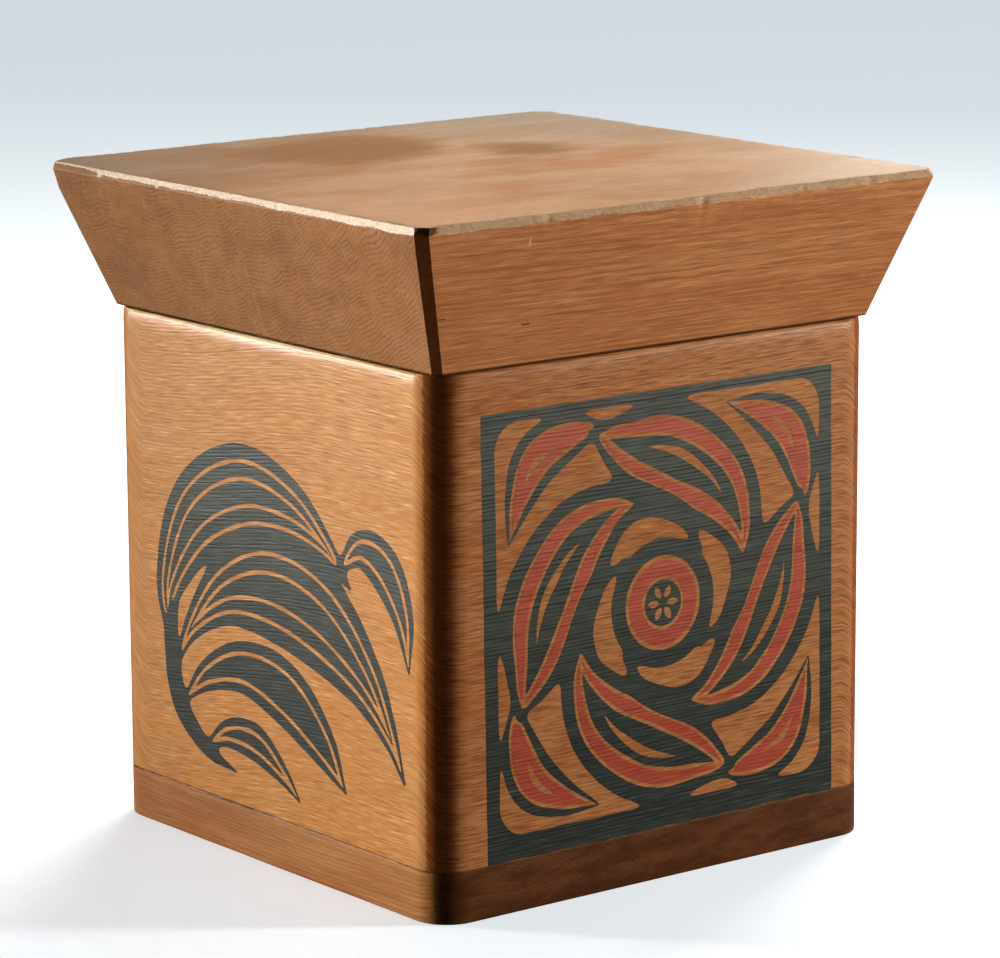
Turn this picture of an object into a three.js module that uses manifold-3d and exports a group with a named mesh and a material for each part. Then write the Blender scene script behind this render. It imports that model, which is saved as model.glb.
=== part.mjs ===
// Lidded cedar box, kerf-bent: four sides folded from one plank, a rebated base and a flared lid.
// Millimetres, +Z up. The origin is the middle of the underside, the front faces -Y, and the
// plank's two ends meet at the back right corner.
import * as THREE from "three";
import { mergeVertices } from "three/addons/utils/BufferGeometryUtils.js";
import Module from "manifold-3d";

const wasm = await Module();
wasm.setup();

// The box: outside sizes of the sides, and the plank that they are folded from
const boxWidth = 300;
const boxDepth = 300;
const plankWidth = 262;
const plankThickness = 16;
const bendRadius = 20;
const bendInnerRadius = 3;
const kerfWidth = 0.8;
const kerfDepth = 6;
const easedEdge = 1.2;

// The joined corner: a rebate in the back's end holds the end of the right side
const joinedCornerRadius = 6;
const rebateLip = 8;
const cornerPegCount = 7;
const cornerPegDiameter = 6;
const cornerPegLength = 36;
const cornerPegMargin = 22;

// The base: a rim under the sides, and a raised middle that fills their foot
const baseRim = 28;
const basePlugHeight = 12;
const baseEasedEdge = 1.5;
const basePegsPerSide = 3;
const basePegDiameter = 6;
const basePegLength = 54;
const basePegCornerDistance = 60;

// The lid: a block that flares upwards, with a lip that drops into the mouth
const lidHeight = 80.4;
const lidFootInset = 1.5;
const lidFlareX = 27.8;
const lidFlareY = 24.2;
const lidChamferFoot = 4;
const lidChamferTop = 5.5;
const lidTopBevelIn = 2;
const lidTopBevelDown = 4.2;
const lidLipDrop = 12;
const lidLipThickness = 20;
const lidLipRadius = 8;
const lidHollowRadius = 14;
const lidHollowDepth = 26;

// Clearances between pieces
const seatGap = 0.3;
const plugClearance = 0.4;
const lipClearance = 1;
const pegClearance = 0.3;
const pegEndClearance = 0.5;
const pegRecess = 0.5;

const arcSteps = 8;
const pegSides = 16;
const past = 5; // how far a cutting solid runs past the wood that it cuts

const sidesFoot = baseRim + seatGap;
const sidesTop = sidesFoot + plankWidth;
const lidFoot = sidesTop + seatGap;
const mouthWidth = boxWidth - 2 * plankThickness;
const mouthDepth = boxDepth - 2 * plankThickness;

const cedar = { color: 0xb9773f, roughness: 0.62, metalness: 0 };
const finishes = {
  sides: new THREE.MeshStandardMaterial(cedar),
  base: new THREE.MeshStandardMaterial({ ...cedar, color: 0x6e3f20 }),
  lid: new THREE.MeshStandardMaterial({ ...cedar, color: 0x9c5c33 }),
  peg: new THREE.MeshStandardMaterial({ ...cedar, color: 0xa87a48, roughness: 0.7 }),
};

// Closed mesh to solid: only positions are kept, so that its shared vertices merge.
function toSolid(geometry) {
  geometry.deleteAttribute("normal");
  geometry.deleteAttribute("uv");
  const merged = mergeVertices(geometry, 1e-4);
  return new wasm.Manifold(
    new wasm.Mesh({
      numProp: 3,
      vertProperties: Float32Array.from(merged.attributes.position.array),
      triVerts: Uint32Array.from(merged.index.array),
    }),
  );
}

function toMesh(solid, name, material) {
  const { vertProperties, triVerts } = solid.getMesh();
  const geometry = new THREE.BufferGeometry();
  geometry.setAttribute("position", new THREE.BufferAttribute(Float32Array.from(vertProperties), 3));
  geometry.setIndex(new THREE.BufferAttribute(Uint32Array.from(triVerts), 1));
  geometry.computeVertexNormals();
  const mesh = new THREE.Mesh(geometry, material);
  mesh.name = name;
  return mesh;
}

// A rectangle about the origin with round corners, given as front left, front right, back right
// and back left radius.
function roundedRectangle(width, depth, radii) {
  const [frontLeft, frontRight, backRight, backLeft] = radii;
  const x = width / 2;
  const y = depth / 2;
  const shape = new THREE.Shape();
  shape.absarc(-x + frontLeft, -y + frontLeft, frontLeft, Math.PI, 1.5 * Math.PI);
  shape.absarc(x - frontRight, -y + frontRight, frontRight, 1.5 * Math.PI, 2 * Math.PI);
  shape.absarc(x - backRight, y - backRight, backRight, 0, 0.5 * Math.PI);
  shape.absarc(-x + backLeft, y - backLeft, backLeft, 0.5 * Math.PI, Math.PI);
  shape.closePath();
  return shape;
}

// A prism from bottom to top whose end edges are eased by a chamfer that stays inside the outline.
function prism(shape, bottom, top, chamfer = 0) {
  const geometry = new THREE.ExtrudeGeometry(shape, {
    depth: top - bottom - 2 * chamfer,
    bevelEnabled: chamfer > 0,
    bevelSegments: 1,
    bevelSize: chamfer,
    bevelThickness: chamfer,
    bevelOffset: -chamfer,
    curveSegments: arcSteps,
  });
  return toSolid(geometry.translate(0, 0, bottom + chamfer));
}

// A box between two corners.
function block(low, high) {
  const size = high.map((value, axis) => value - low[axis]);
  const middle = high.map((value, axis) => (value + low[axis]) / 2);
  return toSolid(new THREE.BoxGeometry(...size).translate(...middle));
}

// A peg along +Z from its driven end at the origin, with a chamfered tip.
function pegAlongZ(diameter, length, tipChamfer) {
  const radius = diameter / 2;
  const profile = [
    [0, 0],
    [radius, 0],
    [radius, length - tipChamfer],
    [radius - tipChamfer, length],
    [0, length],
  ].map(([across, along]) => new THREE.Vector2(across, along));
  return new THREE.LatheGeometry(profile, pegSides).rotateX(Math.PI / 2);
}

// The hole that a peg stands in: wider all round, a little deeper, and open past its driven end.
function pegHole(diameter, length) {
  const depth = length + pegEndClearance + past;
  const hole = new THREE.CylinderGeometry(
    diameter / 2 + pegClearance, diameter / 2 + pegClearance, depth, pegSides,
  );
  return hole.rotateX(Math.PI / 2).translate(0, 0, depth / 2 - past);
}

// Rings of points, each ring a convex outline with as many points, joined into one closed form.
function stackedRings(rings) {
  const count = rings[0].length;
  const index = [];
  for (let ring = 0; ring + 1 < rings.length; ring += 1) {
    for (let i = 0; i < count; i += 1) {
      const a = ring * count + i;
      const b = ring * count + ((i + 1) % count);
      index.push(a, b, b + count, a, b + count, a + count);
    }
  }
  const last = (rings.length - 1) * count;
  for (let i = 1; i + 1 < count; i += 1) {
    index.push(0, i + 1, i, last, last + i, last + i + 1);
  }
  const geometry = new THREE.BufferGeometry();
  geometry.setAttribute("position", new THREE.Float32BufferAttribute(rings.flat(2), 3));
  geometry.setIndex(index);
  return geometry;
}

// A level rectangle with its four corners cut, counter-clockwise seen from above.
function cutRectangle(halfX, halfY, cut, z) {
  return [
    [-halfX + cut, -halfY, z],
    [halfX - cut, -halfY, z],
    [halfX, -halfY + cut, z],
    [halfX, halfY - cut, z],
    [halfX - cut, halfY, z],
    [-halfX + cut, halfY, z],
    [-halfX, halfY - cut, z],
    [-halfX, -halfY + cut, z],
  ];
}

const outerRadii = [bendRadius, bendRadius, joinedCornerRadius, bendRadius];
const outline = roundedRectangle(boxWidth, boxDepth, outerRadii);

// Corner pegs go in from the back, through the rebate's lip, along the right side's mid-thickness.
const cornerPegs = Array.from({ length: cornerPegCount }, (_, i) => {
  const span = plankWidth - 2 * cornerPegMargin;
  const z = sidesFoot + cornerPegMargin + (span * i) / Math.max(cornerPegCount - 1, 1);
  return {
    name: `corner_peg_${i + 1}`,
    place: (geometry) =>
      geometry
        .rotateX(Math.PI / 2)
        .translate(boxWidth / 2 - plankThickness / 2, boxDepth / 2 - pegRecess, z),
  };
});

// Base pegs go up from beneath, through the rim, into the middle of each side's lower edge.
const sideDirections = { front: [0, -1], right: [1, 0], back: [0, 1], left: [-1, 0] };
const basePegs = Object.entries(sideDirections).flatMap(([side, [towardsX, towardsY]]) =>
  Array.from({ length: basePegsPerSide }, (_, i) => {
    const span = (towardsX ? boxDepth : boxWidth) - 2 * basePegCornerDistance;
    const along = (i / Math.max(basePegsPerSide - 1, 1) - 0.5) * span;
    const x = towardsX * (boxWidth / 2 - plankThickness / 2) + (towardsX ? 0 : along);
    const y = towardsY * (boxDepth / 2 - plankThickness / 2) + (towardsY ? 0 : along);
    return {
      name: `base_peg_${side}_${i + 1}`,
      place: (geometry) => geometry.translate(x, y, pegRecess),
    };
  }),
);

const cornerPegHole = () => pegHole(cornerPegDiameter, cornerPegLength);
const basePegHole = () => pegHole(basePegDiameter, basePegLength);

// The four sides: an upright ring, parted at the joined corner, with a closed kerf inside each bend.
function bentWalls() {
  const mouth = roundedRectangle(mouthWidth, mouthDepth, [
    bendInnerRadius, bendInnerRadius, 0, bendInnerRadius,
  ]);
  let walls = prism(outline, sidesFoot - past, sidesTop, easedEdge)
    .intersect(block([-boxWidth, -boxDepth, sidesFoot], [boxWidth, boxDepth, sidesTop + past]))
    .subtract(prism(mouth, sidesFoot - past, sidesTop + past));
  const innerX = mouthWidth / 2;
  const innerY = mouthDepth / 2;
  for (const [toX, toY] of [[-1, -1], [1, -1], [-1, 1]]) {
    const kerf = new THREE.BoxGeometry(2 * kerfDepth, kerfWidth, plankWidth + 2 * past);
    kerf.rotateZ(Math.atan2(toY, toX));
    kerf.translate(toX * innerX, toY * innerY, (sidesFoot + sidesTop) / 2);
    walls = walls.subtract(toSolid(kerf));
  }
  const lipFace = boxDepth / 2 - rebateLip;
  const acrossEnd = block(
    [innerX - seatGap, lipFace - seatGap, sidesFoot - past],
    [boxWidth / 2 + past, lipFace, sidesTop + past],
  );
  const alongShoulder = block(
    [innerX - seatGap, innerY - past, sidesFoot - past],
    [innerX, lipFace, sidesTop + past],
  );
  walls = walls.subtract(acrossEnd).subtract(alongShoulder);
  for (const peg of cornerPegs) walls = walls.subtract(toSolid(peg.place(cornerPegHole())));
  for (const peg of basePegs) walls = walls.subtract(toSolid(peg.place(basePegHole())));
  return walls;
}

// The base: its rim carries the sides, and its raised middle keeps them square.
function base() {
  const plugRadius = bendInnerRadius;
  const plug = roundedRectangle(
    mouthWidth - 2 * plugClearance, mouthDepth - 2 * plugClearance, Array(4).fill(plugRadius),
  );
  let board = prism(outline, 0, baseRim + past, baseEasedEdge)
    .intersect(block([-boxWidth, -boxDepth, 0], [boxWidth, boxDepth, baseRim]))
    .add(prism(plug, baseRim / 2, baseRim + basePlugHeight));
  for (const peg of basePegs) board = board.subtract(toSolid(peg.place(basePegHole())));
  return board;
}

// The lid: four sloping sides with cut corners, a bevelled top, a lip below and a hollow inside it.
function lid() {
  const footX = boxWidth / 2 - lidFootInset;
  const footY = boxDepth / 2 - lidFootInset;
  const topX = footX + lidFlareX;
  const topY = footY + lidFlareY;
  const lidTop = lidFoot + lidHeight;
  const body = toSolid(
    stackedRings([
      cutRectangle(footX, footY, lidChamferFoot, lidFoot),
      cutRectangle(topX, topY, lidChamferTop, lidTop - lidTopBevelDown),
      cutRectangle(topX - lidTopBevelIn, topY - lidTopBevelIn, lidChamferTop, lidTop),
    ]),
  );
  const lipWidth = mouthWidth - 2 * lipClearance;
  const lipDepth = mouthDepth - 2 * lipClearance;
  const lip = roundedRectangle(lipWidth, lipDepth, Array(4).fill(lidLipRadius));
  const hollow = roundedRectangle(
    lipWidth - 2 * lidLipThickness, lipDepth - 2 * lidLipThickness, Array(4).fill(lidHollowRadius),
  );
  return body
    .add(prism(lip, lidFoot - lidLipDrop, lidFoot + lidHollowDepth / 2))
    .subtract(prism(hollow, lidFoot - lidLipDrop - past, lidFoot + lidHollowDepth));
}

const box = new THREE.Group();
box.add(toMesh(base(), "base", finishes.base));
box.add(toMesh(bentWalls(), "bent_walls", finishes.sides));
box.add(toMesh(lid(), "lid", finishes.lid));
for (const { name, place } of cornerPegs) {
  const peg = pegAlongZ(cornerPegDiameter, cornerPegLength, pegEndClearance);
  box.add(toMesh(toSolid(place(peg)), name, finishes.peg));
}
for (const { name, place } of basePegs) {
  const peg = pegAlongZ(basePegDiameter, basePegLength, pegEndClearance);
  box.add(toMesh(toSolid(place(peg)), name, finishes.peg));
}

export default box;
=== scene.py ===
import bmesh
import bpy
import numpy as np
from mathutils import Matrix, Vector
from mathutils.geometry import delaunay_2d_cdt


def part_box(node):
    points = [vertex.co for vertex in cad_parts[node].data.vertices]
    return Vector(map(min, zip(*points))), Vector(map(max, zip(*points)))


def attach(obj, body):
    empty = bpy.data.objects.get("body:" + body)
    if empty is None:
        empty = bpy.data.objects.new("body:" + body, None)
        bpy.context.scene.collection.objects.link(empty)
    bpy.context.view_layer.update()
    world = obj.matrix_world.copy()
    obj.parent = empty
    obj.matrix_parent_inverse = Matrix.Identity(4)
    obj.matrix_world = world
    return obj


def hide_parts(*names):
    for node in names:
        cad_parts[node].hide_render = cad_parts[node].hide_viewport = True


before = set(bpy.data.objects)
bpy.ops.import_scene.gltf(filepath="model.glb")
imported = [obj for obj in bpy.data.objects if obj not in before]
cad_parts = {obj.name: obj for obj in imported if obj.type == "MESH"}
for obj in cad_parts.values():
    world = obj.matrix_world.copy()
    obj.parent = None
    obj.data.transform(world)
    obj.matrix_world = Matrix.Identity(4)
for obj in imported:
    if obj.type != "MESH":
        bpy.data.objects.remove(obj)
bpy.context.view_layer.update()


# The view. A long lens stands two and a half metres off, a little above the lid, turned towards
# the corner between the front and the left side.
camera_data = bpy.data.cameras.new("view")
camera_data.sensor_width, camera_data.lens = 36.0, 163.2
camera = bpy.data.objects.new("view", camera_data)
camera.location = (-1.50901, -1.94401, 0.69860)
camera.rotation_euler = np.radians((78.43629, 0.28494, -38.01974))
bpy.context.scene.collection.objects.link(camera)
bpy.context.scene.camera = camera
bpy.context.scene.view_settings.view_transform = "Standard"


# The studio. One soft lamp stands behind the left side and one off the front's right edge, so
# that the bent corner between them falls into shade, and a third hangs over the lid. Each is a
# square of a size and a power at a place, faces another place, and has a spread in degrees.
middle = (0, 0, 0.18)
for name, place, aim, size, power, colour, spread in (
        ("left_lamp", (-3.96059, 4.47663, 0.70293), (-0.57, -0.34, 0.27), 1.2, 15.4,
         (1, 0.985, 0.96), 15.2),
        ("right_lamp", (2.59799, -2.14162, 0.65319), middle, 0.42, 136, (1, 0.99, 0.97), 180),
        ("top_lamp", (1.15105, 0.80597, 1.74060), middle, 1.0, 43, (1, 0.99, 0.97), 180)):
    data = bpy.data.lights.new(name, "AREA")
    data.shape, data.size, data.energy, data.color = "SQUARE", size, power, colour
    data.spread = np.radians(spread)
    lamp = bpy.data.objects.new(name, data)
    lamp.location = place
    lamp.rotation_euler = (Vector(aim) - Vector(place)).to_track_quat("-Z", "Y").to_euler()
    bpy.context.scene.collection.objects.link(lamp)


class Shade:
    """The nodes of a material, or of a world. Most methods add one node and return its output,
    and an input may be a number, a colour of three numbers or another node's output."""

    def __init__(self, name, world=None):
        self.material = world or bpy.data.materials.new(name)
        self.material.use_nodes = True
        self.tree = self.material.node_tree
        self.surface = self.tree.nodes["World Output" if world else "Principled BSDF"]

    def put(self, socket, value):
        if isinstance(value, bpy.types.NodeSocket):
            self.tree.links.new(value, socket)
        elif value is not None:
            socket.default_value = (*value, 1) if socket.type == "RGBA" else value

    def cover(self, **inputs):
        """Sets inputs of the surface, whose names are written with _ for a space."""
        for name, value in inputs.items():
            self.put(self.surface.inputs[name.replace("_", " ")], value)

    def node(self, kind, inputs, output=0, **settings):
        made = self.tree.nodes.new("ShaderNode" + kind)
        for key, value in settings.items():
            setattr(made, key, value)
        for key, value in inputs.items():
            self.put(made.inputs[key], value)
        return made.outputs[output]

    def math(self, operation, a, b=None, c=None):
        return self.node("Math", {0: a, 1: b, 2: c}, operation=operation)

    def times(self, a, b):
        return self.math("MULTIPLY", a, b)

    def scaled(self, value, by, plus):
        return self.math("MULTIPLY_ADD", value, by, plus)

    def apart(self, a, b):
        return self.math("ABSOLUTE", self.math("SUBTRACT", a, b))

    def vector(self, operation, a, b=None, output=0):
        return self.node("VectorMath", {0: a, 1: b}, output, operation=operation)

    def parts(self, place):
        split = self.tree.nodes.new("ShaderNodeSeparateXYZ")
        self.put(split.inputs[0], place)
        return tuple(split.outputs)

    def noise(self, place, lengths, detail=2.0, roughness=0.5):
        """Smooth noise about a half, whose bumps have the given length along each axis."""
        return self.node("TexNoise", {"Vector": self.vector("DIVIDE", place, lengths),
                                      "Scale": 1.0, "Detail": detail, "Roughness": roughness})

    def steps(self, value, *stops):
        """The value carried through pairs (value, result) joined by straight lines."""
        made = self.tree.nodes.new("ShaderNodeValToRGB")
        self.put(made.inputs[0], value)
        elements = made.color_ramp.elements
        while len(elements) < len(stops):
            elements.new(0.5)
        for element, (at, result) in zip(elements, stops):
            element.position, element.color = at, (result, result, result, 1)
        return made.outputs[0]

    def rise(self, value, low, high, to_low=0.0, to_high=1.0):
        """The value carried smoothly from one range to another and held beyond its ends."""
        return self.node("MapRange", {0: value, 1: low, 2: high, 3: to_low, 4: to_high},
                         interpolation_type="SMOOTHSTEP")

    def mix(self, share, a, b, blend="MIX"):
        return self.node("Mix", {0: share, 6: a, 7: b}, output=2, data_type="RGBA",
                         blend_type=blend, clamp_factor=True)

    def layers(self, tone, *over):
        """A tone with each (share, colour) laid over it in turn."""
        for share, colour in over:
            tone = self.mix(share, tone, colour)
        return tone

    def darken(self, tone, *levels):
        """A tone multiplied by each (value, amount), which goes from 1 - amount to 1 + amount."""
        for value, amount in levels:
            level = self.scaled(value, 2 * amount, 1 - amount)
            grey = self.node("CombineColor", {0: level, 1: level, 2: level})
            tone = self.mix(1.0, tone, grey, "MULTIPLY")
        return tone


# A dim even light fills the studio, and only the camera sees the pale backdrop.
world = bpy.data.worlds.new("studio")
bpy.context.scene.world = world
studio = Shade("studio", world)
fill = studio.tree.nodes["Background"]
studio.put(fill.inputs["Color"], (0.95, 0.97, 1))
studio.put(fill.inputs["Strength"], 0.057)
backdrop = studio.node("Background", {"Color": (0.8, 0.82, 0.84)})
studio.cover(Surface=studio.node("MixShader", {0: studio.node("LightPath", {}),
                                               1: fill.outputs[0], 2: backdrop}))


# The floor. Pale matt paper, level and far wider than the box. The camera sees it glow a little
# more with distance, so that it runs into the backdrop.
floor_reach = 30.0
floor_mesh = bpy.data.meshes.new("floor")
floor_mesh.from_pydata(
    [(x * floor_reach, y * floor_reach, 0) for x, y in ((-1, -1), (1, -1), (1, 1), (-1, 1))],
    [], [(0, 1, 2, 3)])
floor = bpy.data.objects.new("floor", floor_mesh)
bpy.context.scene.collection.objects.link(floor)
paper = Shade("pale_paper")
seen = paper.node("LightPath", {})
from_box = paper.vector("LENGTH", paper.node("TexCoord", {}, output=3), output=1)
paper.cover(Base_Color=paper.mix(seen, (0.26, 0.26, 0.26), (0.95, 0.97, 1)), Roughness=0.9,
            Specular_IOR_Level=0.0, Emission_Color=(0.86, 0.95, 1),
            Emission_Strength=paper.times(seen, paper.rise(from_box, 0.3, 3.5, 0.55, 0.65)))
floor_mesh.materials.append(paper.material)


# The four sides. One cedar plank, kerfed on its inner face, steamed and folded at three corners.
# Its two ends meet at the back right corner, where a rebate in the back holds the right side.
walls_low, walls_high = (np.array(corner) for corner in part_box("bent_walls"))
side = walls_high[0]
plank_thickness = 0.016
bend_radius = 0.020
rebate_lip = 0.008
joint_gap = 0.0003
end_rounding = 0.006
eased_mouth, eased_foot, eased_inside = 0.0022, 0.0004, 0.0010
kerf_width, kerf_depth = 0.0008, 0.006
flat_step, bend_steps = 0.004, 26
wander, wander_size = 0.00016, 0.085
mouth_worn, mouth_worn_down, mouth_worn_size = 0.001, 0.007, 0.12
core = side - bend_radius
bend_length = bend_radius * np.pi / 2
straight_lengths = np.array([side + core, 2 * core, 2 * core])
bend_ends = np.cumsum(straight_lengths + bend_length)
plank_length = bend_ends[2] + core + side - rebate_lip - joint_gap


def waves(a, b, size, seed):
    """Smooth noise, mostly between -1 and 1: twelve sine waves over a and b, each with its own
    seeded direction, phase and length, which is one to three times size."""
    draw = np.random.default_rng(seed)
    total = np.zeros(np.broadcast(a, b).shape)
    for _ in range(12):
        heading, phase = draw.uniform(0, 2 * np.pi, 2)
        pace = 2 * np.pi / (size * draw.uniform(1, 3))
        total += np.sin(pace * (a * np.cos(heading) + b * np.sin(heading)) + phase)
    return total / 4


def hollows(a, b, size, seed):
    """The same noise between 0 and 1, for the slow hollows that a plane leaves."""
    return (1 + np.clip(waves(a, b, size, seed), -1, 1)) / 2


def fold(along, depth, height):
    """Folds the plank round the box. Along runs from the joined corner over the back, the left
    side, the front and the right side, and depth is measured in from the outer face. A stretch
    goes straight for the length of a side, then turns a quarter circle about a bend's centre."""
    stretch = np.searchsorted(bend_ends, along, side="right")
    begin = np.concatenate([[0], bend_ends])[stretch]
    straight = np.append(straight_lengths, np.inf)[stretch]
    ahead = np.minimum(along - begin, straight)
    turned = np.clip((along - begin - straight) / bend_radius, 0, np.pi / 2)
    bearing = np.array([np.pi, 1.5 * np.pi, 0, 0.5 * np.pi])[stretch]
    origin_x = np.array([side, -core, -core, core])[stretch]
    origin_y = np.array([core, core, -core, -core])[stretch]
    reach = bend_radius - depth
    x = origin_x + ahead * np.cos(bearing) + reach * np.sin(bearing + turned)
    y = origin_y + ahead * np.sin(bearing) - reach * np.cos(bearing + turned)
    return np.stack([x, y, np.broadcast_to(height, x.shape)], axis=-1)


def unfold(points):
    """The reverse of fold: how far along the plank and how deep in it places on the box lie. On a
    side the one grows with x or y, and in a bend with the angle about the bend's centre."""
    x, y, height = points.T
    on_lip = (x > core) & (y > side - rebate_lip - joint_gap / 2)
    on_right = (x > side - plank_thickness - joint_gap / 2) & ~on_lip
    on_left, on_front = (x < -core) & ~on_lip, (y < -core) & ~on_right
    along = np.select([on_right, on_left, on_front],
                      [bend_ends[2] + y + core, bend_ends[0] + core - y, bend_ends[1] + x + core],
                      side - x)
    depth = np.select([on_right, on_left, on_front], [side - x, side + x, side + y], side - y)
    for bend, (to_x, to_y) in enumerate(((-1, 1), (-1, -1), (1, -1))):
        from_x, from_y = x - to_x * core, y - to_y * core
        turned = np.mod(np.arctan2(from_y, from_x) - (bend + 1) * np.pi / 2, 2 * np.pi)
        here = (from_x * to_x >= 0) & (from_y * to_y >= 0)
        along = np.where(here, bend_ends[bend] - bend_length + bend_radius * turned, along)
        depth = np.where(here, bend_radius - np.hypot(from_x, from_y), depth)
    return np.stack([along, depth, height], axis=-1)


def hand_worked(along, height):
    """How far the planed outer face lies in from the true one: slow waves, never proud of it,
    and more towards the mouth, where the edge is worn."""
    worn = np.clip((height - walls_high[2]) / mouth_worn_down + 1, 0, 1) ** 2
    worn = worn * mouth_worn * hollows(along, 0 * height, mouth_worn_size, 5)
    return wander * hollows(along, height, wander_size, 3) + worn


def faced_out(name, places, faces):
    """A mesh of places and faces, turned so that it faces outwards."""
    mesh = bpy.data.meshes.new(name)
    mesh.from_pydata(places, [], faces)
    turned = bmesh.new()
    turned.from_mesh(mesh)
    bmesh.ops.recalc_face_normals(turned, faces=turned.faces)
    turned.to_mesh(mesh)
    turned.free()
    return mesh


def joined_grid(name, points):
    """A closed mesh of four-sided faces over rows of places. Each row is a closed loop, and the
    first and last rows are capped."""
    rows, columns = points.shape[:2]
    index = np.arange(rows * columns).reshape(rows, columns)
    after = np.roll(index, -1, axis=1)
    faces = np.stack([index[:-1], after[:-1], after[1:], index[1:]], axis=-1)
    caps = [index[0][::-1].tolist(), index[-1].tolist()]
    return faced_out(name, points.reshape(-1, 3).tolist(), faces.reshape(-1, 4).tolist() + caps)


def store(mesh, name, kind, field, values):
    """Stores a number or a vector on every vertex, for a material to read."""
    mesh.attributes.new(name, kind, "POINT").data.foreach_set(field, np.float32(values).ravel())


def add_piece(name, mesh, material, sharp_over=35):
    """A shown object at the origin from a finished mesh, smooth but for edges sharper than an
    angle in degrees."""
    mesh.materials.append(material)
    mesh.shade_smooth()
    mesh.set_sharp_from_angle(angle=np.radians(sharp_over))
    piece = bpy.data.objects.new(name, mesh)
    bpy.context.scene.collection.objects.link(piece)
    return piece


def eased_path(corners, reaches, steps):
    """A closed line through corners, each rounded by a parabola that leaves the line a reach
    before the corner and meets it again a reach after."""
    corners, reaches = np.asarray(corners, float), np.asarray(reaches, float)[:, None]
    before = np.roll(corners, 1, axis=0) - corners
    after = np.roll(corners, -1, axis=0) - corners
    enter = corners + before / np.linalg.norm(before, axis=1, keepdims=True) * reaches
    leave = corners + after / np.linalg.norm(after, axis=1, keepdims=True) * reaches
    t = np.linspace(0, 1, steps)[:, None, None]
    rounded = (1 - t) ** 2 * enter + 2 * t * (1 - t) * corners + t ** 2 * leave
    points = rounded.transpose(1, 0, 2).reshape(-1, corners.shape[1])
    return points[np.linalg.norm(points - np.roll(points, 1, axis=0), axis=1) > 1e-7]


def with_steps(points, longest):
    """The same open line with its long stretches cut into equal parts."""
    parts = [a + (b - a) * np.linspace(0, 1, max(int(np.ceil(np.abs(b - a).max() / longest)), 1),
                                       endpoint=False)[:, None]
             for a, b in zip(points[:-1], points[1:])]
    return np.concatenate(parts + [points[-1:]])


def plank_section():
    """The plank's section as (share of its thickness, height): up the outer face, over the eased
    upper edge, down the inner face and back under."""
    foot, top, thick = walls_low[2], walls_high[2], plank_thickness
    line = eased_path([(0, foot), (0, top), (thick, top), (thick, foot)],
                      [eased_foot, eased_mouth, eased_inside, eased_foot], 6)
    line = with_steps(np.concatenate([line, line[:1]]), flat_step)[:-1]
    inner = (line[:, 0] > thick - 1e-9) & (np.abs(line[:, 1] - (foot + top) / 2) < 0.12)
    line = line[~inner | (np.arange(len(line)) % 4 == 0)]
    return line / (thick, 1)


def plank_stations():
    """Places along the plank where its section is set, and how deep its outer and inner faces
    lie there. Pairs of close places make the rebate's shoulder and the sides of the kerfs."""
    flats = [np.linspace(a, b, int((b - a) / flat_step) + 1)
             for a, b in zip([end_rounding, *bend_ends],
                             [*bend_ends - bend_length, plank_length])]
    lip_end = end_rounding * (1 - np.cos(np.linspace(0, np.pi / 2, 8)))
    bends = (bend_ends[:, None] + np.linspace(-bend_length, 0, bend_steps + 1)).ravel()
    shoulder = plank_thickness + joint_gap
    kerf_half = kerf_width / 2 * bend_radius / (bend_radius - plank_thickness + kerf_depth / 2)
    kerfs = bend_ends[:, None] - bend_length / 2 + kerf_half * np.array([-1.02, -0.98, 0.98, 1.02])
    places = np.concatenate([*flats, lip_end, bends, kerfs.ravel(), [shoulder - 5e-5, shoulder]])
    places = np.unique(places.round(7))
    inner = np.where(places < shoulder - 2e-5, rebate_lip, plank_thickness)
    from_kerf = np.abs(places[:, None] - bend_ends + bend_length / 2).min(axis=1)
    inner = np.where(from_kerf < kerf_half, plank_thickness - kerf_depth, inner)
    from_end = np.clip(end_rounding - places, 0, None)
    outer = end_rounding - np.sqrt(end_rounding ** 2 - from_end ** 2)
    return places[:, None], outer[:, None], inner[:, None]


def bent_walls():
    """The folded plank: its section set at every station, then folded round the box."""
    places, outer, inner = plank_stations()
    share, height = plank_section().T
    along = places + 0 * share
    depth = outer + share * (inner - outer) + (1 - share) * hand_worked(along, height + 0 * along)
    return joined_grid("cedar_sides", fold(along, depth, height))


def peg_frame(node, towards):
    """A peg's driven end, the way that it was driven and two ways across it, its length and its
    radius."""
    low, high = (np.array(corner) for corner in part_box(node))
    towards = np.array(towards, float)
    across = np.roll(np.abs(towards), 1)
    length, radius = np.abs((high - low) @ towards), (high - low).min() / 2
    driven_end = (low + high) / 2 - towards * length / 2
    return driven_end, towards, across, np.cross(towards, across), length, radius


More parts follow.
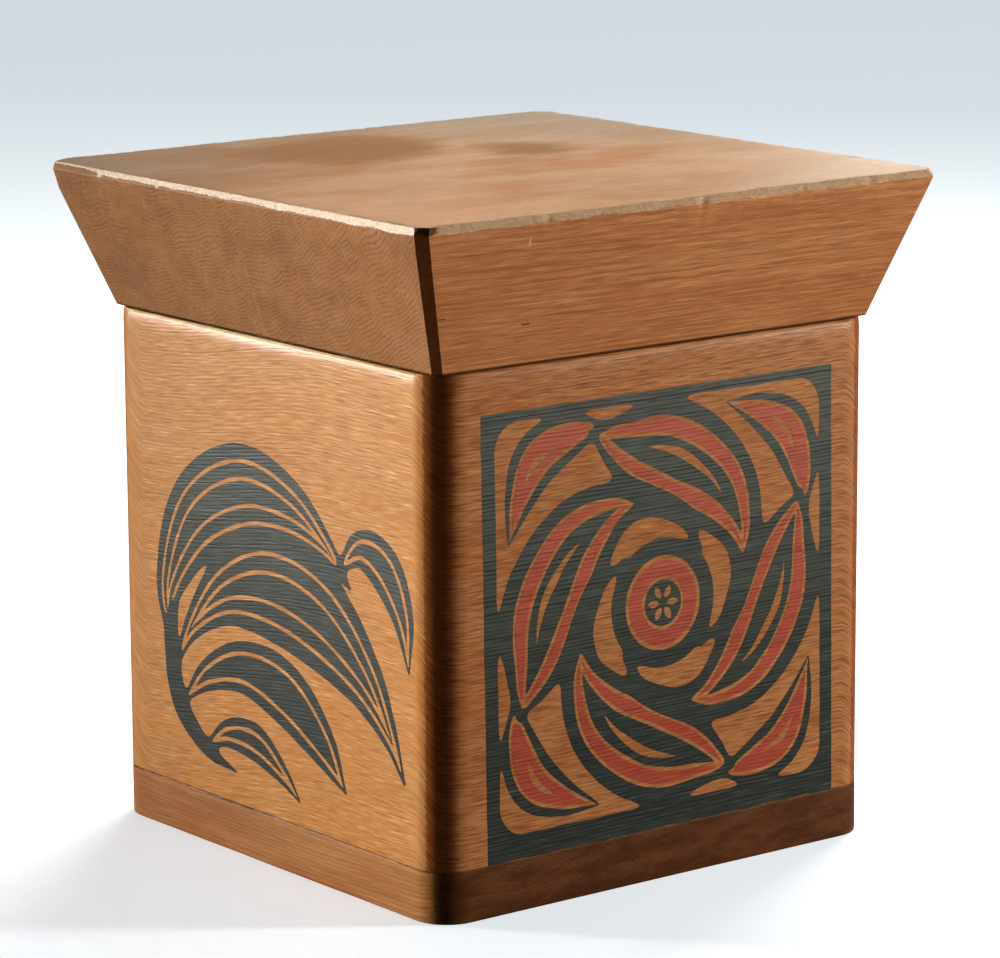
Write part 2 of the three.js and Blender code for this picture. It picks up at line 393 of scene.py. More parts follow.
def drill(piece, nodes, wider, towards, deeper):
    """Cuts a round hole for each peg in nodes, wider and deeper than it and open past its driven
    end."""
    past_end, sides = 0.004, 24
    turn = np.linspace(0, 2 * np.pi, sides, endpoint=False)
    holes = bmesh.new()
    for node in nodes:
        driven_end, along, first, second, length, radius = peg_frame(node, towards)
        circle = np.outer(np.cos(turn), first) + np.outer(np.sin(turn), second)
        circle = driven_end + circle * (radius + wider)
        hole = joined_grid("hole", np.stack([circle - along * past_end,
                                             circle + along * (length + deeper)]))
        holes.from_mesh(hole)
        bpy.data.meshes.remove(hole)
    mesh = bpy.data.meshes.new("drill")
    holes.to_mesh(mesh)
    holes.free()
    cutter = bpy.data.objects.new("drill", mesh)
    bpy.context.scene.collection.objects.link(cutter)
    cut = piece.modifiers.new("holes", "BOOLEAN")
    cut.operation, cut.solver, cut.object = "DIFFERENCE", "EXACT", cutter
    finished = piece.evaluated_get(bpy.context.evaluated_depsgraph_get())
    old, new = piece.data, bpy.data.meshes.new_from_object(finished)
    piece.modifiers.remove(cut)
    piece.data = new
    bpy.data.objects.remove(cutter)
    for spent in (mesh, old):
        bpy.data.meshes.remove(spent)


def note_plank_places(mesh):
    """Stores on every vertex where it lay in the flat plank, for the wood's pattern."""
    places = np.empty(len(mesh.vertices) * 3, np.float32)
    mesh.vertices.foreach_get("co", places)
    store(mesh, "plank", "FLOAT_VECTOR", "vector", unfold(places.reshape(-1, 3).astype(float)))


def cedar_figure(shade, place, pith, ring, wave, drift, even=0.3):
    """Cedar in the round, whose grain runs along the first axis of place, in millimetres. Rings
    are cylinders about the pith that wave and drift, each by three lengths and an amount, and
    even is how strong the weakest are. The results are how late in its year the wood grew, fine
    fibres and long streaks, all between 0 and 1."""
    waving = shade.noise(place, wave[:3])
    drifting = shade.noise(place, drift[:3], 1)
    apart = shade.vector("SUBTRACT", place, (0, *pith))
    radius = shade.vector("LENGTH", shade.vector("MULTIPLY", apart, (0, 1, 1)), output=1)
    radius = shade.scaled(waving, 2 * wave[3], radius)
    year = shade.math("DIVIDE", shade.scaled(drifting, 2 * drift[3], radius), ring)
    late = shade.steps(shade.math("FRACT", year), (0, 0.15), (0.2, 0), (0.5, 0.15), (0.8, 1),
                       (0.9, 0.9), (1, 0.15))
    strength = shade.node("TexWhiteNoise", {"W": shade.math("FLOOR", year)},
                          noise_dimensions="1D")
    late = shade.times(late, shade.scaled(strength, 1 - even, even))
    return late, shade.noise(place, (13, 0.8, 0.8), 3, 0.6), shade.noise(place, (130, 3.5, 3.5))


def finish_cedar(shade, tone, figure, roughness, relief, sheen=(1, 0.85, 0.7), gloss=0.1):
    """Sets a wood's colour and low sheen, and raises its fibres and early wood a little."""
    late, fibre, _ = figure
    bump = shade.node("Bump", {"Height": shade.scaled(late, -0.4, fibre), "Distance": relief,
                               "Strength": 1.0})
    shade.cover(Base_Color=tone, Roughness=shade.scaled(fibre, 0.12, roughness), Normal=bump,
                Specular_IOR_Level=gloss, Specular_Tint=sheen)


millimetres = (1000.0, 1000.0, 1000.0)
bend_middles = (bend_ends - bend_length / 2) * 1000
left_middle, left_flat_half = (bend_ends[0] + core) * 1000, core * 1000
step_later = (25, 0, 0)
# A painted shadow for the gap where the lid sits on the sides
gap_shadow_colour = (0.07, 0.024, 0.006)


def plank_place(shade):
    """Where a point lay in the flat plank, in millimetres, shifted so that the grain rises along
    the left side and steps down as it enters each bend. Then how far along and how high it is."""
    flat = shade.node("Attribute", {}, output=1, attribute_name="plank")
    place = shade.vector("MULTIPLY", flat, millimetres)
    along, _, height = shade.parts(place)
    drop = 0.0
    for middle, later in zip(bend_middles, step_later):
        start = middle + later
        drop = shade.math("ADD", shade.rise(along, start - 19, start + 2, 0, 13), drop)
    rising = shade.rise(along, bend_ends[0] * 1000 - 5, bend_ends[0] * 1000 + 190, 0, -20)
    drop = shade.math("ADD", drop, rising)
    return shade.vector("ADD", place, shade.node("CombineXYZ", {2: drop})), along, height


def off_left(shade, along):
    """0 on the left side, which is painted paler, partly in the wood's own tone and partly as
    painted light, and 1 beyond its bends.
    """
    return shade.rise(shade.apart(along, left_middle), left_flat_half, left_flat_half + 20)


def scorched_and_shaded(shade, place, along, late):
    """How far each bend is darkened, partly as scorch from its steaming and partly as painted
    shade where it turns from the lamps: from its start to two thirds of its way round, with
    edges that run out in points along the grain."""
    ragged = shade.noise(place, (9, 1.3, 1.3), 2)
    ragged = shade.math("ADD", shade.times(ragged, 6.0), late)
    total = 0.0
    for end in bend_ends * 1000:
        into = shade.math("ADD", shade.math("SUBTRACT", along, end - bend_length * 1000), ragged)
        share = shade.times(shade.rise(into, 9.6, 10.8), shade.rise(into, 24, 30, 1, 0))
        total = shade.math("ADD", share, total)
    return total


# The bends' darkening tint: partly steaming scorch and partly painted shade
scorch_and_shade_tint = (0.62, 0.42, 0.26)
# The pith's place, the rings' spacing, and their waves and drift, in millimetres
side_figure = ((-60.0, -420.0), 2.1, (50, 5, 5, 0.8), (300, 60, 60, 4.5))


def side_cedar():
    """Straight-grained cedar, paler and golder on the left side and deeper on the others, partly
    in the wood's own tone and partly as painted light and shade.
    """
    shade = Shade("side_cedar")
    place, along, height = plank_place(shade)
    late, fibre, streak = figure = cedar_figure(shade, place, *side_figure)
    patch = shade.noise(place, (110, 30, 24), 3)
    zone = shade.rise(shade.noise(place, (60, 9, 9)), 0.35, 0.62, 0.10, 0.85)
    fleck = shade.noise(place, (14, 0.8, 0.8), 1)
    deep = off_left(shade, along)
    # The left side's paler tones and the others' deeper ones are partly the wood's own and partly
    # painted light and shade
    early = shade.mix(deep, (0.485, 0.22, 0.066), (0.4, 0.158, 0.052))
    dark = shade.mix(deep, (0.36, 0.13, 0.032), (0.2, 0.064, 0.02))
    pale = shade.mix(deep, (0.62, 0.35, 0.15), (0.46, 0.215, 0.085))
    orange = shade.mix(deep, (0.47, 0.185, 0.042), (0.35, 0.108, 0.028))
    tone = shade.layers(early, (shade.rise(patch, 0.42, 0.68, 0, 0.75), orange),
                        (shade.times(late, zone), dark),
                        (shade.rise(fleck, 0.48, 0.66, 0, 0.8), dark),
                        (shade.rise(fleck, 0.44, 0.28, 0, 0.6), pale))
    # The bends are darkened, partly as steaming scorch and partly as painted shade
    tone = shade.mix(scorched_and_shaded(shade, place, along, late), tone, scorch_and_shade_tint, "MULTIPLY")
    mouth, left_end = walls_high[2] * 1000, left_middle + left_flat_half
    # A pale band along the worn mouth, partly paler worn wood and partly a painted highlight where
    # the eased edge catches the light: strongest along the left side, fading before its front end,
    # and faint on the others
    worn = shade.rise(shade.scaled(streak, 1.6, height), mouth - 1.2, mouth + 0.2)
    paler_with_sheen = shade.times(shade.rise(along, left_end - 70, left_end, 0.9, 0.1),
                        shade.rise(deep, 0, 1, 1, 0.15))
    # Painted shadow just under the lid's foot, on the outer face of the mouth
    gap_shadow = shade.times(shade.rise(height, mouth - 0.55, mouth - 0.25, 0, 0.9),
                       shade.rise(shade.parts(place)[1], 3.5, 2.0))
    tone = shade.layers(tone, (shade.times(worn, paler_with_sheen), (0.74, 0.52, 0.24)), (gap_shadow, gap_shadow_colour))
    tone = shade.darken(tone, (fibre, 0.42), (streak, 0.22))
    finish_cedar(shade, tone, figure, 0.26, 0.00008)
    return shade.material


sides_piece = add_piece("cedar_sides", bent_walls(), side_cedar(), 30)
corner_pegs = [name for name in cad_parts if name.startswith("corner_peg")]
base_pegs = [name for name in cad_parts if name.startswith("base_peg")]
drill(sides_piece, corner_pegs, joint_gap, (0, -1, 0), 0.0005)
drill(sides_piece, base_pegs, joint_gap, (0, 0, 1), 0.0005)
note_plank_places(sides_piece.data)
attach(sides_piece, "box")
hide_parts("bent_walls")


# The base. One thick cedar board whose grain runs from front to back. Its rim is flush with the
# sides and carries them, and its raised middle fills their foot. Its lower edge is eased.
base_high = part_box("base")[1]
rim_height = 0.028
plug_half, plug_corner = 0.1336, 0.003
rim_corners = (bend_radius, end_rounding, bend_radius, bend_radius)
eased_bottom, eased_rim, eased_plug = 0.0015, 0.0004, 0.0008
base_columns, corner_columns, middle_half, rim_band = 60, 9, 0.004, 0.0225


def row(half, height, radii, cut=0):
    """One row for plan_loops. One number may stand for both halves or for all four radii."""
    return [*np.broadcast_to(half, 2), height, *np.broadcast_to(radii, 4), cut]


def plan_loops(rows, per_side, per_corner):
    """Level loops about the upright axis, counter-clockwise from above. A row gives its half
    width, half depth, height, four corner radii from the front right round to the front left,
    and a cut: where it is above none the corners are cut straight by it instead of rounded."""
    half_x, half_y, height, *radii, cut = rows.T[:, :, None]
    across = np.linspace(0, 1, per_side, endpoint=False)
    turn = np.linspace(0, 1, per_corner, endpoint=False)
    places = []
    for number in range(4):
        along, out = (half_x, half_y) if number % 2 == 0 else (half_y, half_x)
        round_here = radii[number]
        size, before = round_here + cut, radii[number - 1] + cut
        share = round_here / np.maximum(size, 1e-9)
        arc_u, arc_n = np.sin(turn * np.pi / 2), np.cos(turn * np.pi / 2)
        u = np.hstack([before - along + across * (2 * along - before - size),
                       along - size + size * (share * arc_u + (1 - share) * turn)])
        n = np.hstack([out + 0 * across,
                       out - size + size * (share * arc_n + (1 - share) * (1 - turn))])
        c, s = np.cos(number * np.pi / 2), np.sin(number * np.pi / 2)
        places.append(np.stack([u * c + n * s, u * s - n * c, height + 0 * u], axis=-1))
    return np.concatenate(places, axis=1)


def set_in(points, amounts):
    """Moves a grid of closed loops inwards along its own normals, which are the cross products
    of its two directions, by an amount for each place."""
    along = np.roll(points, -1, axis=1) - np.roll(points, 1, axis=1)
    normal = np.cross(along, np.gradient(points, axis=0))
    normal /= np.maximum(np.linalg.norm(normal, axis=-1, keepdims=True), 1e-12)
    return points - normal * amounts[..., None]


def base_board():
    """The board as loops: from the middle of its raised top over the rim and under it again."""
    half, small = base_high[0], middle_half / 2
    line = eased_path(
        [row(middle_half, base_high[2], small), row(plug_half, base_high[2], plug_corner),
         row(plug_half, rim_height, plug_corner), row(half, rim_height, rim_corners),
         row(half, 0, rim_corners), row(middle_half, 0, small)],
        [0, eased_plug, 0, eased_rim, eased_bottom, 0], 6)
    loops = plan_loops(with_steps(line, flat_step), base_columns, corner_columns)
    outer = np.abs(loops[..., :2]).max(axis=-1) > half - rim_band
    around = np.arctan2(loops[..., 1], loops[..., 0]) * half
    amounts = wander * hollows(around, loops[..., 2], 0.05, 11)
    hidden = (loops[..., 2] > rim_height - 0.0005) | (loops[..., 2] < 0.0002)
    return joined_grid("base_board", set_in(loops, np.where(outer & ~hidden, amounts, 0)))


def facing(shade, axis):
    """How squarely a surface faces either way along one of the object's axes, from 0 to 1."""
    return shade.math("ABSOLUTE", shade.parts(shade.node("TexCoord", {}, output=1))[axis])


def grain_place(shade, grain_axis):
    """The object's own places in millimetres, with the axis along the grain put first."""
    place = shade.vector("MULTIPLY", shade.node("TexCoord", {}, output=3), millimetres)
    parts = shade.parts(place)
    return shade.node("CombineXYZ", {0: parts[grain_axis], 1: parts[1 - grain_axis],
                                     2: parts[2]}), parts


base_figure = ((-118.0, -52.0), 2.3, (80, 16, 16, 1.4), (300, 60, 60, 9.0))


def base_cedar():
    """Reddish cedar with a bold figure on its long grain, and dark oiled end grain."""
    shade = Shade("base_cedar")
    place, (_, behind, height) = grain_place(shade, 1)
    late, fibre, streak = figure = cedar_figure(shade, place, *base_figure)
    patch, blotch = shade.noise(place, (90, 26, 20), 3), shade.noise(place, (9, 30, 8), 4, 0.7)
    long_grain = shade.mix(shade.rise(patch, 0.4, 0.7), (0.36, 0.15, 0.044), (0.31, 0.108, 0.029))
    long_grain = shade.mix(shade.times(late, 0.75), long_grain, (0.2, 0.068, 0.023))
    long_grain = shade.darken(long_grain, (fibre, 0.42), (streak, 0.3))
    rim = rim_height * 1000
    # Dark broken lines on the rim's top, under the sides' foot: a painted shadow for the joint's
    # gaps, stronger towards the back
    joint_shadow = shade.rise(shade.noise(place, (16, 90, 90), 3, 0.7), 0.50, 0.56)
    joint_shadow = shade.times(shade.scaled(joint_shadow, 0.5, 0.45), shade.rise(behind, -110, 40, 0.3, 1))
    joint_shadow = shade.times(joint_shadow, shade.rise(height, rim - 0.8, rim - 0.5))
    end_grain = shade.layers((0.064, 0.018, 0.005),
                             (shade.rise(blotch, 0.35, 0.7), (0.12, 0.04, 0.012)),
                             (shade.times(late, 0.35), (0.045, 0.013, 0.004)))
    pores = shade.noise(place, (30, 0.6, 0.6), 2)
    tone = shade.layers(long_grain, (joint_shadow, (0.055, 0.018, 0.005)),
                        (shade.rise(facing(shade, 1), 0.35, 0.75),
                         shade.darken(end_grain, (pores, 0.5))))
    finish_cedar(shade, tone, figure, 0.28, 0.00010)
    return shade.material


base_piece = add_piece("base_board", base_board(), base_cedar(), 30)
drill(base_piece, base_pegs, joint_gap, (0, 0, 1), 0.0005)
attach(base_piece, "box")
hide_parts("base")


# The lid. One heavy cedar block whose grain runs from left to right. Its sides slope outwards to
# a worn bevelled edge, its upright corners are cut, and a lip below it drops into the mouth.
lid_low, lid_high = (np.array(corner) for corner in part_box("lid"))
lip_half, lip_corner, lip_depth = 0.133, 0.008, 0.012
hollow_half, hollow_corner, hollow_depth = 0.113, 0.014, 0.026
foot_half, foot_cut, top_cut = 0.1485, 0.004, 0.0055
bevel_in, bevel_down = 0.002, 0.0042
eased_foot_edge, eased_lip, eased_hollow = 0.0012, 0.0015, 0.006
lid_columns, lid_wander, bevel_roughness = 250, 0.00022, 0.00018
lid_foot = lid_low[2] + lip_depth
worn_towards = np.array([-1, 1, 0]) / np.sqrt(2)
worn_limit = (lid_high[0] + lid_high[1] - top_cut) / np.sqrt(2)
worn_depth, worn_down = 0.0026, 0.016
stain_x, stain_z, stain_long, stain_high = -0.1702, 0.3706, 0.0050, 0.0034
past_lip, rub_reach, mean_half = 0.12, 0.0014, 0.17
lid_step, slope_step, bevel_step = 0.012, 0.0024, 0.0009
# Places that are knocked or worn, as (x, y, height, reach, depth), in millimetres
knocks = np.array([
    (9, -172.2, 368.5, 2.4, 1.4), (-94, -172.2, 369, 2, 1), (78, -172.2, 368.5, 1.6, 0.9),
    (126, -172.2, 369, 3, 0.8), (-176, 172, 371, 8, 1.6), (-176, -172, 371, 3.5, 1.2),
    (-162.9, -165.5, 343.9, 1.4, 0.7), (-158.2, -161.1, 330.2, 1.6, 0.6),
    (-155.5, -158.7, 322.6, 1.3, 0.7), (-150.3, -153.8, 307.4, 1.5, 0.6),
    (-176.2, 62, 369, 3.2, 0.5), (-176.2, -48, 369, 2.2, 0.5), (-176.2, 118, 369.5, 4, 0.6),
    (176.2, 80, 369, 3, 1.1), (176.2, -90, 369, 2.2, 1), (176, 172, 371, 5, 1.5),
    (40, 172.2, 369, 2.6, 1.1), (-120, 172.2, 369, 2, 0.9)]) / 1000


def lid_rows():
    """The lid's profile, from the middle of its hollow out over the lip, the foot and the slope,
    over the bevel and in to the middle of the top. The steps are finer at the bevel."""
    foot, top, ceiling = lid_foot, lid_high[2], lid_foot + hollow_depth
    widest, bevelled = lid_high[:2], lid_high[:2] - bevel_in
    corners = [row(middle_half, ceiling, middle_half / 2),
               row(hollow_half, ceiling, hollow_corner),
               row(hollow_half, lid_low[2], hollow_corner), row(lip_half, lid_low[2], lip_corner),
               row(lip_half, foot, lip_corner), row(foot_half, foot, 0, foot_cut),
               row(widest, top - bevel_down, 0, top_cut), row(bevelled, top, 0, top_cut),
               row(middle_half, top, 0, middle_half / 4)]
    reaches = [0, eased_hollow, eased_lip, eased_lip, 0.0006, eased_foot_edge, 0.0006, 0.0009, 0]
    line = eased_path(corners, reaches, 5)
    height, wide = line[:, 2], line[:, 0]
    slope, bevel, flat = (int(np.argmax((height > level) & (wide > foot_half)))
                          for level in (foot + 0.002, top - bevel_down - 0.001, top - 1e-6))
    return np.concatenate([with_steps(line[:slope + 1], lid_step)[:-1],
                           with_steps(line[slope:bevel + 1], slope_step)[:-1],
                           with_steps(line[bevel:flat + 1], bevel_step)[:-1],
                           with_steps(line[flat:], lid_step)])


def to_bevel(x, y):
    """How far places lie in from the top's four long edges."""
    return np.minimum(*(lid_high[i] - bevel_in - np.abs(p) for i, p in enumerate((x, y))))


def torn_edge(x, y, z):
    """How dry and pale the bevel is, from 1 at the top's edge down to 0. The band is widest at
    the front and a hairline at the back of the left end. Below 0, next to the front left corner,
    it is a dark stain."""
    below = lid_high[2] - z
    past_cut = lid_high[0] + lid_high[1] - 2 * bevel_in - top_cut - np.abs(x) - np.abs(y)
    inwards = np.minimum(to_bevel(x, y), past_cut / np.sqrt(2))
    near = np.clip((0.17 - y) / 0.34, 0, 1)
    on_left = x < -lid_high[0] + 0.012
    band = np.interp(near, [0, 0.1, 0.2, 0.7, 1], [0.0012, 0.0016, 0.0038, 0.0046, 0.0056])
    reach = np.where(on_left & (y > -lid_high[1] + 0.006), band, 0.0052)
    reach = reach * (1 + 0.12 * np.clip(waves(x, y, 0.02, 25), -1, 1))
    pale = np.clip(2 - 2 * np.maximum(below, 6 * inwards) / reach, 0, 1)
    stain = np.hypot((x - stain_x) / stain_long, (z - stain_z) / stain_high)
    stain = np.clip(3 - 2 * stain, 0, 2) * (y < -lid_high[1] + 0.006) * (inwards < 0.0002)
    return np.where(stain > 0, pale * np.clip(1 - stain, 0, 1) - stain, pale)


def lid_block():
    """The block: loops along the profile, then slow hollows all over, a worn corner at the back
    left, torn grain along the bevel and the knocks. How worn it is goes with its mesh."""
    loops = plan_loops(lid_rows(), lid_columns, 7)
    beyond = loops @ worn_towards - worn_limit
    high = np.clip((loops[..., 2:] - lid_high[2]) / worn_down + 1, 0, 1)
    loops -= np.clip(beyond[..., None] + worn_depth * high, 0, None) * worn_towards
    x, y, z = np.moveaxis(loops, -1, 0)
    below = lid_high[2] - z
    outside = (z > lid_foot + 0.0005) & (np.maximum(np.abs(x), np.abs(y)) > past_lip)
    on_top = z > lid_high[2] - 0.0005
    far = np.clip(np.where(on_top, to_bevel(x, y), below - bevel_down), 0, None)
    rubbed = np.exp(-(far / rub_reach) ** 2) * (outside | on_top)
    worn = torn_edge(x, y, z) * (outside | on_top)
    around = np.arctan2(y, x) * mean_half
    slow = lid_wander * hollows(around, z, 0.06, 21)
    slow_top = lid_wander * hollows(x, y, 0.09, 22)
    rough = waves(x + z, y - z, 0.005, 23) + waves(x - z, y + z, 0.012, 24)
    rough = bevel_roughness * np.clip(0.5 + 0.5 * rough, 0, 2) * rubbed
    amounts = np.where(on_top, slow_top, np.where(outside, slow, 0)) + rough
    for *place, reach, depth in knocks:
        dent = np.exp(-(np.linalg.norm(loops - place, axis=-1) / reach) ** 2)
        amounts += depth * dent
        worn = np.where((dent > 0.3) & (below < bevel_down), np.maximum(worn, 0.8 * dent), worn)
    mesh = joined_grid("lid_block", set_in(loops, amounts))
    store(mesh, "worn", "FLOAT", "value", worn)
    return mesh


# Marks on the front as (x, height, half length, half height, colour), in millimetres: two short
# level cracks, one of them by the corner, and a light scratch
lid_marks = [(-152.4, 321.4, 2.6, 0.5, (0.05, 0.018, 0.006)),
             (-96.6, 312.7, 3.0, 0.6, (0.07, 0.024, 0.008)),
             (-104.6, 357.6, 0.8, 2.7, (0.6, 0.33, 0.14))]
# Warmer patches on the top as (x, y, reach)
top_patches = [(-26, 96, 42), (56, 42, 16)]
# Places with y below this lie on the front
front_from = -140
lid_figure = ((85.0, 722.0), 2.2, (90, 6.5, 30, 1.6), (500, 34, 44, 9.0), 0.7)


def scratched(shade, parts, x, height, half_long, half_high):
    """A soft-edged mark on the lid's front."""
    share = shade.times(shade.rise(shade.apart(parts[0], x), half_long, half_long - 0.6),
                        shade.rise(shade.apart(parts[2], height), half_high, half_high / 3))
    return shade.times(share, shade.rise(parts[1], front_from, front_from - 1))


def lid_cedar():
    """Cedar cut so that its ends show rings about a heart above the lid. The top is paler and
    rubbed, with a painted sheen and painted shade in its tone. The cut corners are dark, partly as
    oiled end grain and partly as painted shade, and the bevel is torn and dry, paler at the left
    end as a painted highlight."""
    shade = Shade("lid_cedar")
    place, parts = grain_place(shade, 0)
    late, fibre, streak = figure = cedar_figure(shade, place, *lid_figure)
    patch, blotch = shade.noise(place, (120, 24, 24), 3), shade.noise(place, (60, 28, 22), 3)
    rubbed = shade.noise(place, (95, 48, 48), 4, 0.55)
    zone = shade.rise(shade.noise(place, (60, 9, 9)), 0.35, 0.62, 0.15, 0.8)
    fleck = shade.noise(place, (22, 0.6, 0.6), 1)
    dark = (0.27, 0.088, 0.028)
    long_grain = shade.layers((0.47, 0.185, 0.066),
                              (shade.rise(patch, 0.4, 0.68), (0.41, 0.142, 0.046)),
                              (shade.times(late, zone), dark),
                              (shade.rise(fleck, 0.48, 0.66, 0, 0.6), dark),
                              (shade.rise(fleck, 0.44, 0.28, 0, 0.45), (0.56, 0.27, 0.11)))
    shadow = shade.rise(shade.noise(place, (70, 34, 26), 2), 0.5, 0.66, 0, 0.6)
    soft = shade.rise(shade.noise(place, (40, 12, 9), 2), 0.36, 0.62, 0.25, 0.75)
    end_grain = shade.layers((0.29, 0.125, 0.043),
                             (shade.rise(blotch, 0.35, 0.68), (0.31, 0.143, 0.057)),
                             (shadow, (0.235, 0.096, 0.042)),
                             (shade.times(late, soft), (0.155, 0.06, 0.02)))
    sideways = shade.math("SUBTRACT", parts[0], parts[1])
    backwards = shade.math("ADD", parts[0], parts[1])
    # The top's pale base tone is partly the rubbed wood's own and partly a painted sheen, and the
    # gradients below paint sheen and shade: paler towards the two front corners, greyer towards
    # the back right and darker towards the back left
    top = shade.layers((0.53, 0.262, 0.12),
                       (shade.rise(rubbed, 0.36, 0.62), (0.635, 0.385, 0.232)),
                       (shade.times(late, 0.15), (0.36, 0.15, 0.062)),
                       (shade.rise(sideways, -380, 0, 0.75, 0), (0.215, 0.17, 0.12)),
                       (shade.rise(backwards, 20, 330, 0, 0.85), (0.39, 0.31, 0.235)),
                       (shade.rise(backwards, -80, -340, 0, 0.6), (0.8, 0.47, 0.27)),
                       (shade.rise(sideways, 120, 340, 0, 0.8), (0.95, 0.76, 0.58)))
    for x, y, reach in top_patches:
        away = shade.vector("DISTANCE", place, (x, y, lid_high[2] * 1000), 1)
        share = shade.rise(shade.scaled(rubbed, 60, away), reach + 62, reach + 24, 0, 0.9)
        top = shade.mix(share, top, (0.34, 0.172, 0.08))
    top = shade.darken(top, (fibre, 0.35), (streak, 0.08))
    on_top = shade.rise(facing(shade, 2), 0.80, 0.96)
    on_cut = shade.times(facing(shade, 0), facing(shade, 1))
    marks = [(scratched(shade, parts, *mark[:4]), mark[4]) for mark in lid_marks]
    # The cut upright corners are dark, partly as oiled end grain and partly as painted shade on
    # facets that turn away from the lamps
    tone = shade.layers(long_grain, (shade.rise(facing(shade, 0), 0.45, 0.75), end_grain),
                        (shade.rise(on_cut, 0.3, 0.4, 0, 0.92), (0.29, 0.075, 0.012)), *marks)
    tone = shade.darken(tone, (fibre, 0.42), (streak, 0.25))
    foot, foot_edge = lid_foot * 1000, foot_half * 1000
    outwards = shade.math("MAXIMUM", *(shade.math("ABSOLUTE", part) for part in parts[:2]))
    # Painted shadow round the lid's foot, where it meets the sides
    gap_shadow = shade.times(shade.rise(parts[2], foot + 1.3, foot + 0.5, 0, 0.9),
                       shade.rise(outwards, foot_edge - 5, foot_edge - 3))
    torn = shade.noise(shade.vector("ADD", place, shade.node("CombineXYZ", {0: parts[2]})),
                       (2.2, 2.2, 0.9), 3, 0.7)
    # The left end's torn bevel is paler than the rest: torn dry fibres with a painted highlight
    # where it faces the light
    left_end = shade.times(shade.rise(facing(shade, 0), 0.3, 0.6),
                           shade.rise(parts[0], 100, -100, 0.25, 1))
    dry = shade.darken(shade.mix(left_end, (0.45, 0.275, 0.15), (0.74, 0.56, 0.42)), (torn, 0.8))
    worn = shade.node("Attribute", {}, output=2, attribute_name="worn")
    stain = shade.rise(shade.scaled(torn, 1.5, worn), -0.2, 0.2, 1, 0)
    edge = shade.rise(shade.scaled(torn, 0.8, worn), 0.80, 1.0)
    tone = shade.layers(tone, (on_top, top), (gap_shadow, gap_shadow_colour), (stain, (0.11, 0.04, 0.014)),
                        (edge, dry))
    finish_cedar(shade, tone, figure, shade.rise(on_top, 0, 1, 0.45, 0.7), 0.00012,
                 gloss=shade.rise(on_top, 0, 1, 0.1, 0.015))
    return shade.material


lid_piece = add_piece("lid_block", lid_block(), lid_cedar(), 28)
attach(lid_piece, "lid")
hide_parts("lid")


# The pegs. Short whittled wooden pegs, tapered at the tip and driven just under the surface:
# seven through the joined corner's lip from the back, and three up into each side from beneath.
peg_sides, peg_facets, peg_taper, peg_dip = 24, 8, 0.10, 0.03


def whittled_peg(name, node, towards, seed):
    """A peg inside its node's box: loops about its axis whose radius dips a little between the
    knife's facets, shrinks towards the tip and is domed at the driven end."""
    start, towards, first, second, length, radius = peg_frame(node, towards)
    along = np.array([0, 0, 0.02, 0.05, 0.10, 0.30, 0.55, 0.80, 0.93, 0.98, 1])[:, None]
    width = np.array([0.15, 0.80, 0.96, 1, 1, 1, 1, 1, 0.96, 0.80, 0.20])[:, None]
    width = width * (1 - peg_taper * along ** 2)
    angle = np.linspace(0, 2 * np.pi, peg_sides, endpoint=False)
    facet_turn = np.random.default_rng(seed).uniform(0, np.pi)
    facets = 1 - peg_dip * (1 - np.cos(peg_facets * angle + facet_turn))
    out = (radius * width * facets)[..., None]
    loops = start + towards * (along * length)[..., None]
    return joined_grid(name, loops + out * (np.outer(np.cos(angle), first)
                                            + np.outer(np.sin(angle), second)))


def peg_wood(grain_axis):
    """Pale straight-grained peg wood, darker and oil-soaked at its ends."""
    shade = Shade("peg_wood_" + "xyz"[grain_axis])
    place = shade.vector("MULTIPLY", shade.node("TexCoord", {}, output=3), millimetres)
    fibre = shade.noise(place, [20 if axis == grain_axis else 0.8 for axis in range(3)], 3, 0.6)
    speck = shade.noise(place, (1.4, 1.4, 1.4), 3, 0.65)
    tone = shade.mix(shade.rise(fibre, 0.35, 0.7), (0.4, 0.215, 0.088), (0.29, 0.135, 0.05))
    ends = shade.mix(shade.rise(speck, 0.35, 0.65), (0.25, 0.115, 0.045), (0.16, 0.066, 0.026))
    tone = shade.mix(shade.rise(facing(shade, grain_axis), 0.5, 0.8), tone, ends)
    bump = shade.node("Bump", {"Height": fibre, "Distance": 0.0002, "Strength": 1.0})
    shade.cover(Base_Color=tone, Roughness=0.6, Specular_IOR_Level=0.3, Normal=bump)
    return shade.material


for nodes, towards, wood in ((corner_pegs, (0, -1, 0), peg_wood(1)),
                             (base_pegs, (0, 0, 1), peg_wood(2))):
    for number, node in enumerate(nodes):
        peg_name = "whittled_" + node
        peg = add_piece(peg_name, whittled_peg(peg_name, node, towards, number), wood, 40)
        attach(peg, "box")
        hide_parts(node)


# The paint. Thin blue-black and dull red, brushed over outlines on the planed sides: a framed
# wreath of leaves on the front and the back, and a free spray of leaves on the left and right.
paint_proud, paint_sunk = 0.00008, 0.00015
panel_half, panel_height_half, panel_corner = 120.0, 119.3, 0.8
opening_half, opening_height_half, opening_corner = 111.5, 110.0, 16.0
panel_middle, opening_above = 0.1479, 4.0
panel_lean, panel_high = 0.00325, 0.239
edge_step, fill_step, fill_inside, brush_wobble, paint_apart = 0.75, 9.0, 0.6, 0.13, 1.3
